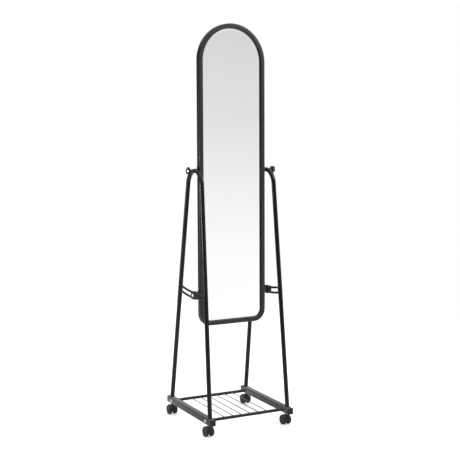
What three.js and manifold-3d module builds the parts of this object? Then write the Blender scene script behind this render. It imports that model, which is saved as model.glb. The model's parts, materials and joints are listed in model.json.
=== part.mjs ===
// Cheval floor mirror: an arched mirror that tilts between two bent-tube hoops on a wheeled base.
// Millimetres, +Z up, +X to the right and +Y to the rear of the mirror.
// The origin is on the floor, under the middle of the base.
import * as THREE from 'three';
import { mergeVertices } from 'three/addons/utils/BufferGeometryUtils.js';
import Module from 'manifold-3d';

const wasm = await Module();
wasm.setup();

// ---------------------------------------------------------------- driving dimensions
const GAP = 0.3; // between pieces that touch
const SLACK = 0.4; // round a shaft in its hole

const PIVOT_Z = 1050; // tilt axis above the floor
const REST_LEAN = THREE.MathUtils.degToRad(1.75); // how far the mirror leans back at rest
const TILT_LIMIT = THREE.MathUtils.degToRad(10); // each way from upright

const FRAME_WIDTH = 304;
const FRAME_ABOVE = 591; // top of the frame above the tilt axis
const FRAME_BELOW = 633.5; // bottom of the frame below the tilt axis
const FRAME_DEPTH = 21.5;
const FRAME_FORWARD = 12.5; // front of the frame, ahead of the tilt axis
const FRAME_FACE = 19.5; // width of the face round the glass
const FRAME_CORNER = 50; // outer radius of the two bottom corners
const FRAME_ROUND = 3; // rounding of the frame's long edges
const FRAME_WALL = 1.5; // the frame is a channel, open at the back
const LIP_DEPTH = 6; // from the frame's front to the back of its lip
const LIP_REACH = 4.7; // how far the lip covers the glass
const GLASS_THICK = 4;
const GLASS_BEVEL = 12; // width of the ground edge, part of it under the lip
const GLASS_BEVEL_DROP = 1;
const BOARD_THICK = 3;

const TUBE_RADIUS = 9; // hoops
const TUBE_WALL = 1.2;
const HOOP_FOOT_X = 180; // hoop centre at the rail
const HOOP_CROWN_X = 165; // hoop centre at the crown
const HOOP_FOOT_Y = 175; // leg centres at the rail
const CROWN_BEND = 62; // bend radius on the centre line

const RAIL_SIZE = 26; // square tube
const RAIL_WALL = 1.5;
const RAIL_CORNER = 3;
const RAIL_TOP = 76.4;
const BASE_LENGTH = 402; // over the end caps
const CAP_THICK = 2.7;
const CAP_PLUG = 12;

const CROSS_Y = 158.5; // cross tubes, front and rear of the middle
const CROSS_RADIUS = 6.5;
const CROSS_BORE = 3.5;
const WIRE_RADIUS = 1.75;
const WIRE_COUNT = 6;
const WIRE_PITCH = 39.2;

const GUIDE_X = 173; // middle of the slotted guide plates
const GUIDE_THICK = 4;
const GUIDE_RADIUS = 504.5; // from the tilt axis to the middle of the slot
const GUIDE_HEIGHT = 30;
const SLOT_HEIGHT = 13;
const SLOT_END = TILT_LIMIT + THREE.MathUtils.degToRad(2); // each way from straight down
const GUIDE_END = THREE.MathUtils.degToRad(13.6); // past the legs, before they are cut away

const PLATE_THICK = 2.5; // plates on the sides of the frame
const PLATE_WIDTH = 13;
const PLATE_LENGTH = 64;
const SCREW_SPACING = 49;
const SCREW_RADIUS = 1.8;
const SCREW_LENGTH = 8;
const BOSS_RADIUS = 8; // round the pivot stud
const BOLT_BOSS_RADIUS = 6.5; // round the guide bolt
const BOLT_RADIUS = 3; // guide bolts and rail bolts

const BLOCK_LENGTH = 36; // slider block
const BLOCK_HEIGHT = 32;
const BLOCK_INNER = 163.3; // its faces, from the middle of the mirror
const BLOCK_OUTER = 180;
const RIB_LENGTH = 24; // the part of it that rides in the slot

const KNOB_RADIUS = 13.8;
const KNOB_LOBE = 1.5;
const KNOB_LOBES = 5;
const KNOB_THICK = 11;
const KNOB_OUTER = 201.5; // outer face, from the middle of the mirror
const KNOB_NECK = 6.5;
const STUD_RADIUS = 4;

const CASTER_Y = 170; // stems, front and rear of the middle
const CASTER_TRAIL = 9;
const WHEEL_RADIUS = 20;
const WHEEL_WIDTH = 11;
const WHEEL_OFFSET = 12.5; // wheel centres, each side of the stem
const AXLE_RADIUS = 2.5;
const HOOD_RADIUS = 21.8;
const HOOD_HALF_WIDTH = 16;
const HOOD_TOP = 46;
const HOOD_CUT = 16; // height of the hood's lower edge
const HOOD_BOSS_RADIUS = 9.5;
const STEM_RADIUS = 4;
const STEM_SLEEVE = 4.7; // where the stem grips inside the rail
const STEM_COLLAR = 8;
const STEM_DEPTH = 12; // into the hood, and into the rail

// ---------------------------------------------------------------- derived places
const railCentreZ = RAIL_TOP - RAIL_SIZE / 2;
const railBottomZ = RAIL_TOP - RAIL_SIZE;
const railHalfLength = BASE_LENGTH / 2 - CAP_THICK - GAP;
const frameSide = FRAME_WIDTH / 2;
const frameFront = -FRAME_FORWARD;
const frameBack = frameFront + FRAME_DEPTH;
const glassFront = frameFront + LIP_DEPTH + GAP;
const glassInset = FRAME_FACE - LIP_REACH + 0.5;
const plateOuter = frameSide + GAP + PLATE_THICK;
const hoopLean = Math.atan2(HOOP_FOOT_X - HOOP_CROWN_X, PIVOT_Z - RAIL_TOP);
const hoopHeight = (PIVOT_Z - RAIL_TOP) / Math.cos(hoopLean);
const railOuter = HOOP_FOOT_X + RAIL_SIZE / 2;

// ---------------------------------------------------------------- materials
const finish = (color, roughness, metalness) =>
  new THREE.MeshStandardMaterial({ color, roughness, metalness });
const blackSteel = finish(0x2b2b2e, 0.55, 0.6);
const blackPlastic = finish(0x1c1c1e, 0.5, 0);
const wheelPlastic = finish(0x232325, 0.6, 0);
const zinc = finish(0xc4c8cc, 0.35, 1);
const silvering = finish(0xe8eaec, 0.04, 1);
const board = finish(0x8b7658, 0.9, 0);

// ---------------------------------------------------------------- solid helpers
// A closed three.js geometry as a manifold solid.
function solid(geometry) {
  const bare = geometry.clone();
  bare.deleteAttribute('normal');
  bare.deleteAttribute('uv');
  const welded = mergeVertices(bare, 1e-4);
  return new wasm.Manifold(new wasm.Mesh({
    numProp: 3,
    vertProperties: new Float32Array(welded.attributes.position.array),
    triVerts: new Uint32Array(welded.index.array),
  }));
}

// A manifold solid as a three.js geometry.
function geometryOf(shape) {
  const mesh = shape.getMesh();
  const geometry = new THREE.BufferGeometry();
  geometry.setAttribute('position', new THREE.BufferAttribute(mesh.vertProperties, 3));
  geometry.setIndex(new THREE.BufferAttribute(mesh.triVerts, 1));
  geometry.computeVertexNormals();
  return geometry;
}

function piece(name, shape, material) {
  const geometry = shape.isBufferGeometry ? shape : geometryOf(shape);
  const mesh = new THREE.Mesh(geometry, material);
  mesh.name = name;
  return mesh;
}

function arcPoints(x, y, radius, from, to, steps) {
  const points = [];
  for (let i = 0; i <= steps; i++) {
    const angle = from + (to - from) * i / steps;
    points.push(new THREE.Vector2(x + radius * Math.cos(angle), y + radius * Math.sin(angle)));
  }
  return points;
}

function roundedRectangle(width, height, radius, steps = 3) {
  const x = width / 2 - radius;
  const y = height / 2 - radius;
  const quarter = Math.PI / 2;
  return [
    ...arcPoints(x, y, radius, 0, quarter, steps),
    ...arcPoints(-x, y, radius, quarter, 2 * quarter, steps),
    ...arcPoints(-x, -y, radius, 2 * quarter, 3 * quarter, steps),
    ...arcPoints(x, -y, radius, 3 * quarter, 4 * quarter, steps),
  ];
}

// An outline in XZ, given as (x, z), filled from y = front to y = back. round eases its edges.
function plateAlongY(outline, front, back, { hole = null, round = 0, steps = 2 } = {}) {
  const shape = new THREE.Shape(outline);
  if (hole) shape.holes.push(new THREE.Path(hole));
  const geometry = new THREE.ExtrudeGeometry(shape, {
    depth: back - front - 2 * round,
    steps: 1,
    bevelEnabled: round > 0,
    bevelThickness: round,
    bevelSize: round,
    bevelOffset: -round,
    bevelSegments: steps,
  });
  return geometry.rotateX(Math.PI / 2).translate(0, back - round, 0);
}

// An outline in YZ, given as (y, z), filled from x = from to x = to.
function plateAlongX(outline, from, to, { hole = null, round = 0, steps = 1 } = {}) {
  const shape = new THREE.Shape(outline);
  if (hole) shape.holes.push(new THREE.Path(hole));
  const geometry = new THREE.ExtrudeGeometry(shape, {
    depth: to - from - 2 * round,
    steps: 1,
    bevelEnabled: round > 0,
    bevelThickness: round,
    bevelSize: round,
    bevelOffset: -round,
    bevelSegments: steps,
  });
  const turn = new THREE.Matrix4().makeBasis(
    new THREE.Vector3(0, 1, 0), new THREE.Vector3(0, 0, 1), new THREE.Vector3(1, 0, 0));
  return geometry.applyMatrix4(turn).translate(from + round, 0, 0);
}

function boxSolid(x0, x1, y0, y1, z0, z1) {
  return solid(new THREE.BoxGeometry(x1 - x0, y1 - y0, z1 - z0)
    .translate((x0 + x1) / 2, (y0 + y1) / 2, (z0 + z1) / 2));
}

function rodAlongX(radius, x0, x1, y, z, sides = 12) {
  return new THREE.CylinderGeometry(radius, radius, x1 - x0, sides)
    .rotateZ(Math.PI / 2).translate((x0 + x1) / 2, y, z);
}

function rodAlongZ(radius, z0, z1, x, y, sides = 12) {
  return new THREE.CylinderGeometry(radius, radius, z1 - z0, sides)
    .rotateX(Math.PI / 2).translate(x, y, (z0 + z1) / 2);
}

// A profile of [radius, height] pairs turned about X, with height along +X.
function turnedAlongX(profile, sides) {
  const points = profile.map(([radius, height]) => new THREE.Vector2(radius, height));
  return new THREE.LatheGeometry(points, sides).rotateZ(-Math.PI / 2);
}

// The same profile turned about Z, with height along +Z.
function turnedAlongZ(profile, sides) {
  const points = profile.map(([radius, height]) => new THREE.Vector2(radius, height));
  return new THREE.LatheGeometry(points, sides).rotateX(Math.PI / 2);
}

const sides = [['left', -1], ['right', 1]];
const ends = [['front', -1], ['rear', 1]];

// ---------------------------------------------------------------- mirror
// The arched outline, (x, z) from the tilt axis, moved in by inset.
function archOutline(inset) {
  const half = frameSide - inset;
  const bottom = -FRAME_BELOW + inset;
  const corner = FRAME_CORNER - inset;
  const spring = FRAME_ABOVE - frameSide;
  return [
    ...arcPoints(-half + corner, bottom + corner, corner, Math.PI, 1.5 * Math.PI, 5),
    ...arcPoints(half - corner, bottom + corner, corner, 1.5 * Math.PI, 2 * Math.PI, 5),
    ...arcPoints(0, spring, half, 0, Math.PI, 28),
  ];
}

// Holes in one side wall of the frame for the pivot stud, the guide bolt and the plate screws.
function sideHoles(sign) {
  const holes = [[STUD_RADIUS, 0], [BOLT_RADIUS, -GUIDE_RADIUS]];
  for (const centre of [0, -GUIDE_RADIUS]) {
    for (const offset of [-SCREW_SPACING / 2, SCREW_SPACING / 2]) {
      holes.push([SCREW_RADIUS, centre + offset]);
    }
  }
  const middle = sign * frameSide;
  return holes.map(([radius, z]) =>
    solid(rodAlongX(radius + SLACK, middle - 3, middle + 3, 0, z, 12)));
}

// A rolled channel: a face, a side wall and a lip, with the glass seated behind the lip.
function mirrorFrame() {
  let frame = solid(plateAlongY(archOutline(0), frameFront, frameBack, {
    hole: archOutline(FRAME_FACE), round: FRAME_ROUND,
  }));
  const channel = plateAlongY(archOutline(FRAME_WALL), frameFront + FRAME_WALL, FRAME_DEPTH, {
    hole: archOutline(FRAME_FACE - FRAME_WALL),
  });
  const rebate = plateAlongY(archOutline(FRAME_FACE - LIP_REACH), frameFront + LIP_DEPTH, FRAME_DEPTH);
  frame = frame.subtract(solid(channel)).subtract(solid(rebate));
  for (const hole of [...sideHoles(-1), ...sideHoles(1)]) frame = frame.subtract(hole);
  return piece('mirror_frame', frame, blackSteel);
}

// The glass lies behind the lip, and its front edge is ground to a shallow bevel.
function mirrorGlass() {
  const outline = archOutline(glassInset);
  const shape = new THREE.Shape(outline);
  const blank = new THREE.ExtrudeGeometry(shape, {
    depth: 2 * GLASS_THICK,
    bevelThickness: GLASS_BEVEL_DROP,
    bevelSize: GLASS_BEVEL,
    bevelOffset: -GLASS_BEVEL,
    bevelSegments: 1,
  }).rotateX(-Math.PI / 2).rotateX(Math.PI).translate(0, glassFront + GLASS_BEVEL_DROP + 2 * GLASS_THICK, 0);
  const keep = boxSolid(-frameSide, frameSide, glassFront - 1, glassFront + GLASS_THICK,
    -FRAME_BELOW, FRAME_ABOVE);
  return piece('mirror_glass', solid(blank).intersect(keep), silvering);
}

function backingBoard() {
  const front = glassFront + GLASS_THICK + GAP;
  return piece('backing_board',
    plateAlongY(archOutline(glassInset), front, front + BOARD_THICK), board);
}

// A plate with round ends, flat on the side of the frame, with a boss in its middle.
function sidePlate(name, sign, centre, bossRadius, bossEnd, boreRadius) {
  const outline = roundedRectangle(PLATE_WIDTH, PLATE_LENGTH, PLATE_WIDTH / 2, 4)
    .map((point) => new THREE.Vector2(point.x, point.y + centre));
  let plate = solid(plateAlongX(outline, frameSide + GAP, plateOuter));
  plate = plate.add(solid(rodAlongX(bossRadius, plateOuter - 1, bossEnd, 0, centre, 16)));
  plate = plate.subtract(solid(rodAlongX(boreRadius, frameSide - 1, bossEnd + 1, 0, centre)));
  for (const offset of [-SCREW_SPACING / 2, SCREW_SPACING / 2]) {
    plate = plate.subtract(solid(rodAlongX(SCREW_RADIUS + SLACK, frameSide, plateOuter + 1,
      0, centre + offset)));
  }
  return piece(name, sign > 0 ? plate : plate.mirror([1, 0, 0]), blackSteel);
}

// A pan-head screw through a side plate into the frame.
function plateScrew(name, sign, z) {
  const head = 2 * SCREW_RADIUS;
  const profile = [
    [0, -SCREW_LENGTH], [SCREW_RADIUS, -SCREW_LENGTH], [SCREW_RADIUS, 0], [head, 0], [head, 1.2],
    [head - 1.2, 2.2], [0, 2.2],
  ];
  const screw = piece(name, turnedAlongX(profile, 10), zinc);
  screw.position.set(sign * (plateOuter + GAP), 0, z);
  screw.rotation.z = sign > 0 ? 0 : Math.PI;
  return screw;
}

// The part of the slider block that rides in the slot follows the slot's curve.
function slotSector(inner, outer, halfAngle, steps) {
  const down = -Math.PI / 2;
  return [
    ...arcPoints(0, 0, outer, down - halfAngle, down + halfAngle, steps),
    ...arcPoints(0, 0, inner, down + halfAngle, down - halfAngle, steps),
  ];
}

function sliderBlock(name, sign) {
  const outline = roundedRectangle(BLOCK_LENGTH, BLOCK_HEIGHT, 5)
    .map((point) => new THREE.Vector2(point.x, point.y - GUIDE_RADIUS));
  const plateInner = GUIDE_X - GUIDE_THICK / 2 - SLACK;
  const plateOuterFace = GUIDE_X + GUIDE_THICK / 2 + SLACK;
  let block = solid(plateAlongX(outline, BLOCK_INNER, plateInner, { round: 1 }));
  block = block.add(solid(plateAlongX(outline, plateOuterFace, BLOCK_OUTER, { round: 1 })));
  const half = SLOT_HEIGHT / 2 - SLACK;
  const rib = slotSector(GUIDE_RADIUS - half, GUIDE_RADIUS + half, RIB_LENGTH / 2 / GUIDE_RADIUS, 2);
  block = block.add(solid(plateAlongX(rib, plateInner - 1, plateOuterFace + 1)));
  block = block.subtract(solid(rodAlongX(BOLT_RADIUS + SLACK, BLOCK_INNER - 1, BLOCK_OUTER + 1,
    0, -GUIDE_RADIUS)));
  return piece(name, sign > 0 ? block : block.mirror([1, 0, 0]), blackPlastic);
}

// The bolt holds the slider block to the boss of the guide plate.
function guideBolt(name, sign) {
  const length = BLOCK_OUTER + GAP - frameSide + SCREW_LENGTH;
  const head = 2 * BOLT_RADIUS;
  const profile = [
    [0, -length], [BOLT_RADIUS, -length], [BOLT_RADIUS, 0], [head, 0], [head, 3], [head - 1.5, 4], [0, 4],
  ];
  const bolt = piece(name, turnedAlongX(profile, 12), zinc);
  bolt.position.set(sign * (BLOCK_OUTER + GAP), 0, -GUIDE_RADIUS);
  bolt.rotation.z = sign > 0 ? 0 : Math.PI;
  return bolt;
}

function mirror() {
  const group = new THREE.Group();
  group.position.z = PIVOT_Z;
  group.rotation.x = -REST_LEAN;
  group.add(mirrorFrame(), mirrorGlass(), backingBoard());
  const crownInner = HOOP_CROWN_X - TUBE_RADIUS - GAP;
  for (const [side, sign] of sides) {
    group.add(sidePlate(`${side}_pivot_plate`, sign, 0, BOSS_RADIUS, crownInner, STUD_RADIUS + SLACK));
    group.add(sidePlate(`${side}_guide_plate`, sign, -GUIDE_RADIUS, BOLT_BOSS_RADIUS,
      BLOCK_INNER - GAP, BOLT_RADIUS + SLACK));
    for (const [plate, centre] of [['pivot', 0], ['guide', -GUIDE_RADIUS]]) {
      group.add(plateScrew(`${side}_${plate}_upper_screw`, sign, centre + SCREW_SPACING / 2));
      group.add(plateScrew(`${side}_${plate}_lower_screw`, sign, centre - SCREW_SPACING / 2));
    }
    group.add(sliderBlock(`${side}_slider_block`, sign), guideBolt(`${side}_guide_bolt`, sign));
  }
  return group;
}

// ---------------------------------------------------------------- hoops
// A hoop's centre line in its own YZ plane: a leg, the bend at the crown and the other leg.
class HoopLine extends THREE.Curve {
  constructor(overrun) {
    super();
    this.bendZ = hoopHeight - CROWN_BEND;
    const reach = Math.hypot(HOOP_FOOT_Y, this.bendZ);
    // Angle of the tangent point on the bend, seen from its centre.
    this.touch = Math.acos(CROWN_BEND / reach) - Math.atan2(this.bendZ, HOOP_FOOT_Y);
    this.lean = Math.atan2(HOOP_FOOT_Y - CROWN_BEND * Math.cos(this.touch),
      this.bendZ + CROWN_BEND * Math.sin(this.touch));
    this.overrun = overrun;
    this.bendSteps = 16;
  }

  // Steps fall on the bend and at the feet, not evenly along the legs.
  getUtoTmapping(u) {
    return u;
  }

  getPoint(t) {
    const step = t * (this.bendSteps + 2);
    const onBend = THREE.MathUtils.clamp((step - 1) / this.bendSteps, 0, 1);
    const angle = this.touch + (Math.PI - 2 * this.touch) * onBend;
    const point = new THREE.Vector3(0, CROWN_BEND * Math.cos(angle),
      this.bendZ + CROWN_BEND * Math.sin(angle));
    const legDrop = point.z + this.overrun;
    const onLeg = Math.max(1 - step, step - 1 - this.bendSteps, 0);
    point.y += Math.sign(point.y) * onLeg * legDrop * Math.tan(this.lean);
    point.z -= onLeg * legDrop;
    return point;
  }
}

function circle(radius, steps) {
  return arcPoints(0, 0, radius, 0, 2 * Math.PI, steps).slice(0, -1);
}

// A tube along a hoop's centre line. wall = 0 makes it solid, to cut other pieces with.
function hoopTube(radius, wall) {
  const section = new THREE.Shape(circle(radius, 12));
  if (wall > 0) section.holes.push(new THREE.Path(circle(radius - wall, 12)));
  const line = new HoopLine(6);
  return solid(new THREE.ExtrudeGeometry(section, {
    steps: line.bendSteps + 2, extrudePath: line,
  }));
}

function hoop(name) {
  let tube = hoopTube(TUBE_RADIUS, TUBE_WALL);
  const footCut = GAP + 0.15;
  tube = tube.subtract(boxSolid(-50, 50, -300, 300, -50, footCut));
  tube = tube.subtract(solid(rodAlongX(STUD_RADIUS + SLACK, -20, 20, 0, hoopHeight)));
  return piece(name, tube, blackSteel);
}

// Puts a hoop's own frame on its rail, leaning in towards the mirror.
function placeOnRail(object, sign) {
  object.position.set(sign * HOOP_FOOT_X, 0, RAIL_TOP);
  object.rotation.y = -sign * hoopLean;
  return object;
}

// A slotted plate from leg to leg, curved about the tilt axis.
function tiltGuide(name, sign) {
  const inner = GUIDE_RADIUS - GUIDE_HEIGHT / 2;
  const outer = GUIDE_RADIUS + GUIDE_HEIGHT / 2;
  const half = SLOT_HEIGHT / 2;
  const slot = slotSector(GUIDE_RADIUS - half, GUIDE_RADIUS + half, SLOT_END, 14);
  let guide = solid(plateAlongX(slotSector(inner, outer, GUIDE_END, 14),
    sign * GUIDE_X - GUIDE_THICK / 2, sign * GUIDE_X + GUIDE_THICK / 2, { hole: slot })
    .translate(0, 0, PIVOT_Z));
  const place = placeOnRail(new THREE.Object3D(), sign);
  place.updateMatrix();
  const legs = geometryOf(hoopTube(TUBE_RADIUS + GAP, 0)).applyMatrix4(place.matrix);
  // What lies between the legs is kept, and the scraps beyond them are dropped.
  const parts = guide.subtract(solid(legs)).decompose();
  guide = parts.reduce((best, part) => (part.volume() > best.volume() ? part : best));
  return piece(name, guide, blackSteel);
}

// ---------------------------------------------------------------- base
function sideRail(name, sign) {
  const section = roundedRectangle(RAIL_SIZE, RAIL_SIZE, RAIL_CORNER);
  const inside = RAIL_SIZE - 2 * RAIL_WALL;
  const bore = roundedRectangle(inside, inside, RAIL_CORNER - RAIL_WALL);
  let rail = solid(plateAlongY(section, -railHalfLength, railHalfLength, { hole: bore }));
  for (const [, end] of ends) {
    rail = rail.subtract(solid(rodAlongX(BOLT_RADIUS + SLACK, -RAIL_SIZE, RAIL_SIZE, end * CROSS_Y, 0)));
    rail = rail.subtract(solid(rodAlongZ(STEM_SLEEVE + GAP, -RAIL_SIZE, 0, 0, end * CASTER_Y)));
  }
  const mesh = piece(name, rail, blackSteel);
  mesh.position.set(sign * HOOP_FOOT_X, 0, railCentreZ);
  return mesh;
}

function endCap(name, sign, end) {
  const face = plateAlongY(roundedRectangle(RAIL_SIZE, RAIL_SIZE, RAIL_CORNER), 0, CAP_THICK, { round: 1 });
  const plugSize = RAIL_SIZE - 2 * RAIL_WALL - 2 * GAP;
  const plug = plateAlongY(roundedRectangle(plugSize, plugSize, RAIL_CORNER), -CAP_PLUG, 1.5);
  const cap = piece(name, solid(face).add(solid(plug)), blackPlastic);
  cap.position.set(sign * HOOP_FOOT_X, end * (railHalfLength + GAP), railCentreZ);
  cap.rotation.z = end > 0 ? 0 : Math.PI;
  return cap;
}

function crossTube(name, end) {
  const half = HOOP_FOOT_X - RAIL_SIZE / 2 - GAP;
  const shape = plateAlongX(circle(CROSS_RADIUS, 12), -half, half, { hole: circle(CROSS_BORE, 12) });
  const tube = piece(name, shape, blackSteel);
  tube.position.set(0, end * CROSS_Y, railCentreZ);
  return tube;
}

function shelfWire(name, index) {
  const length = 2 * (CROSS_Y - CROSS_RADIUS - GAP);
  const wire = piece(name, new THREE.CylinderGeometry(WIRE_RADIUS, WIRE_RADIUS, length, 8), blackSteel);
  wire.position.set((index - (WIRE_COUNT - 1) / 2) * WIRE_PITCH, 0, railCentreZ);
  return wire;
}

// A round-head bolt through the rail into the end of a cross tube.
function railBolt(name, sign, end) {
  const length = RAIL_SIZE + 14;
  const profile = [
    [0, -length], [BOLT_RADIUS, -length], [BOLT_RADIUS, 0], [5.8, 0], [5.2, 1.8], [3.2, 3.1], [0, 3.6],
  ];
  const bolt = piece(name, turnedAlongX(profile, 12), zinc);
  bolt.position.set(sign * (railOuter + GAP), end * CROSS_Y, railCentreZ);
  bolt.rotation.z = sign > 0 ? 0 : Math.PI;
  return bolt;
}

function stand() {
  const group = new THREE.Group();
  for (const [side, sign] of sides) {
    group.add(placeOnRail(hoop(`${side}_hoop`), sign));
    group.add(tiltGuide(`${side}_tilt_guide`, sign), sideRail(`${side}_side_rail`, sign));
    for (const [end, way] of ends) {
      group.add(endCap(`${side}_${end}_end_cap`, sign, way));
      group.add(railBolt(`${side}_${end}_rail_bolt`, sign, way));
    }
  }
  for (const [end, way] of ends) group.add(crossTube(`${end}_cross_tube`, way));
  for (let i = 0; i < WIRE_COUNT; i++) group.add(shelfWire(`shelf_wire_${i + 1}`, i));
  return group;
}

// ---------------------------------------------------------------- knobs
// A lobed knob with a neck and a threaded stud that reaches through the hoop into the mirror.
function knob(name, sign) {
  const outline = [];
  const steps = KNOB_LOBES * 7;
  for (let i = 0; i < steps; i++) {
    const angle = 2 * Math.PI * i / steps;
    const radius = KNOB_RADIUS + KNOB_LOBE * Math.cos(KNOB_LOBES * angle);
    outline.push(new THREE.Vector2(radius * Math.cos(angle), radius * Math.sin(angle)));
  }
  const back = KNOB_OUTER - KNOB_THICK;
  const neckEnd = HOOP_CROWN_X + TUBE_RADIUS + GAP;
  let shape = solid(plateAlongX(outline, back, KNOB_OUTER, { round: 2 }));
  shape = shape.add(solid(rodAlongX(KNOB_NECK, neckEnd, back + 3, 0, 0)));
  shape = shape.add(solid(rodAlongX(STUD_RADIUS, frameSide - 8, back, 0, 0)));
  const mesh = piece(name, shape, blackPlastic);
  mesh.position.z = PIVOT_Z;
  mesh.rotation.z = sign > 0 ? 0 : Math.PI;
  return mesh;
}

// ---------------------------------------------------------------- casters
// Places are from the floor under the stem. The wheels trail to the rear.
function casterStem(name) {
  const collarLow = HOOD_TOP + GAP;
  const collarHigh = railBottomZ - GAP;
  const profile = [
    [0, HOOD_TOP - STEM_DEPTH], [STEM_RADIUS, HOOD_TOP - STEM_DEPTH], [STEM_RADIUS, collarLow],
    [STEM_COLLAR, collarLow], [STEM_COLLAR, collarHigh], [STEM_SLEEVE, collarHigh],
    [STEM_SLEEVE, collarHigh + STEM_DEPTH], [STEM_SLEEVE - 1, collarHigh + STEM_DEPTH + 1],
    [0, collarHigh + STEM_DEPTH + 1],
  ];
  return piece(name, turnedAlongZ(profile, 12), zinc);
}

// The space that both wheels sweep, with a margin.
function wheelSpace() {
  const reach = WHEEL_OFFSET + WHEEL_WIDTH / 2 + 3;
  const inner = WHEEL_OFFSET - WHEEL_WIDTH / 2 - SLACK;
  const radius = WHEEL_RADIUS + 0.6;
  return [[-reach, -inner], [inner, reach]].map(([from, to]) =>
    solid(rodAlongX(radius, from, to, CASTER_TRAIL, WHEEL_RADIUS, 24)));
}

function casterHood(name) {
  let hood = solid(rodAlongX(HOOD_RADIUS, -HOOD_HALF_WIDTH, HOOD_HALF_WIDTH,
    CASTER_TRAIL, WHEEL_RADIUS, 24));
  hood = hood.add(solid(rodAlongZ(HOOD_BOSS_RADIUS, WHEEL_RADIUS, HOOD_TOP, 0, 0, 16)));
  for (const space of wheelSpace()) hood = hood.subtract(space);
  hood = hood.subtract(boxSolid(-50, 50, -50, 50, -10, HOOD_CUT));
  hood = hood.subtract(solid(rodAlongZ(STEM_RADIUS + SLACK, HOOD_TOP - STEM_DEPTH - 1, HOOD_TOP + 1, 0, 0)));
  const pin = WHEEL_OFFSET + WHEEL_WIDTH / 2 - 1;
  hood = hood.add(solid(rodAlongX(AXLE_RADIUS, -pin, pin, CASTER_TRAIL, WHEEL_RADIUS)));
  return piece(name, hood, blackPlastic);
}

function casterWheel(name, sign) {
  const half = WHEEL_WIDTH / 2;
  const bore = AXLE_RADIUS + SLACK;
  const shoulder = WHEEL_RADIUS - 1.2;
  const profile = [
    [bore, -half], [shoulder, -half], [WHEEL_RADIUS, 2 - half], [WHEEL_RADIUS, half - 2],
    [shoulder, half], [bore, half], [bore, -half],
  ];
  const wheel = piece(name, turnedAlongX(profile, 18), wheelPlastic);
  wheel.position.set(sign * WHEEL_OFFSET, CASTER_TRAIL, WHEEL_RADIUS);
  wheel.rotation.z = sign > 0 ? 0 : Math.PI;
  return wheel;
}

function caster(name, sign, end) {
  const group = new THREE.Group();
  group.position.set(sign * HOOP_FOOT_X, end * CASTER_Y, 0);
  group.add(casterStem(`${name}_caster_stem`), casterHood(`${name}_caster_hood`));
  for (const [side, way] of sides) group.add(casterWheel(`${name}_caster_${side}_wheel`, way));
  return group;
}

// ---------------------------------------------------------------- assembly
const chevalMirror = new THREE.Group();
chevalMirror.add(stand(), mirror());
for (const [side, sign] of sides) {
  chevalMirror.add(knob(`${side}_knob`, sign));
  for (const [end, way] of ends) chevalMirror.add(caster(`${side}_${end}`, sign, way));
}
export default chevalMirror;
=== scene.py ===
# %% [markdown]
# # A rolling cheval mirror
# A cheval mirror is a full-length mirror that tilts between two uprights. This one hangs between two hoops
# of bent tube on a wheeled base. Every piece is built in metres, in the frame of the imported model, so a
# piece goes where the model says, and every piece rides on the body that moves it.

import json
import math

import bmesh
import bpy
from mathutils import Matrix, Vector


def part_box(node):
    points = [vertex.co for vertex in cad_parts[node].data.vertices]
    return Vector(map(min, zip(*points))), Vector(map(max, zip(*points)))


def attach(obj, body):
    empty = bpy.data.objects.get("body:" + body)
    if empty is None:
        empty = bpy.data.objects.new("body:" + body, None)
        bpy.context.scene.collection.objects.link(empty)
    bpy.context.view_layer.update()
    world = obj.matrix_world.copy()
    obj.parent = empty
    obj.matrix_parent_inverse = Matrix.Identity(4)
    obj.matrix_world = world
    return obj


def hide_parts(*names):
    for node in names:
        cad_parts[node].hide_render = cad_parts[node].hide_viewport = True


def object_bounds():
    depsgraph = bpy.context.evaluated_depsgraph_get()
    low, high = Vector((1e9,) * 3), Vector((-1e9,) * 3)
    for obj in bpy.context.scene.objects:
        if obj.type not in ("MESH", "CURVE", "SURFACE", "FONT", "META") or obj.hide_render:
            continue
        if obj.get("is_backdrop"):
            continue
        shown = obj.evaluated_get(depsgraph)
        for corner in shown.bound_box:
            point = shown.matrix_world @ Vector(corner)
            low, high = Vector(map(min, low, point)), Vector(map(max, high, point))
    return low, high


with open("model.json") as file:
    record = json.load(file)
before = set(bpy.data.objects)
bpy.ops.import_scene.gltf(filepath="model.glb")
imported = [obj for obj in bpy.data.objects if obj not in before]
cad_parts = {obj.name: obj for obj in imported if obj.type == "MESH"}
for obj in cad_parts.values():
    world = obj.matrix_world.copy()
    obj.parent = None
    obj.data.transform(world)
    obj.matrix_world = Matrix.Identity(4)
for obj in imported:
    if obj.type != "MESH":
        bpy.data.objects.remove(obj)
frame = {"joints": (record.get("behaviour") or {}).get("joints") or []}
cad_box = [list(corner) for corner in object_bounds()]
print("model box, metres:", [[round(value, 4) for value in corner] for corner in cad_box])

# %% Read the places that the pieces share
joints = {joint["name"]: joint for joint in frame["joints"]}
tilt = joints["mirror_tilt"]
pivot_z = tilt["pos_m"][2]
rest_lean = math.radians(sum(tilt["range_deg"]) / 2)
in_mirror = Matrix.Translation((0, 0, pivot_z)) @ Matrix.Rotation(-rest_lean, 4, "X")
SIDES = (("left", -1), ("right", 1))
ENDS = (("front", -1), ("rear", 1))
print(f"tilt axis at {pivot_z} m, mirror leaning back {math.degrees(rest_lean):.2f} degrees")

# %% [markdown]
# ## Camera and light
# The camera stands to the front left, a little above the middle, with a long lens so that upright lines stay
# nearly parallel. The studio is a white room: a pale floor, three soft lights and a bright surround. A mirror
# shows the room in front of it, so on that side the surround turns greyer from the floor up. That is what
# gives the glass its soft shading, from grey at the top to white at the bottom. To the sides and low down
# behind, the surround is dark, and this keeps the black coat black.

# %% Camera
CAMERA_TURN = math.radians(-28.5)
CAMERA_DROP = math.radians(6.74)
CAMERA_ROLL = math.radians(0.58)
CAMERA_DISTANCE = 4.1676
CAMERA_LENS = 79.19217  # millimetres, on a film 36 mm wide
CAMERA_AIM = Vector((-0.0040, -0.0014, 0.8032))

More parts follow.
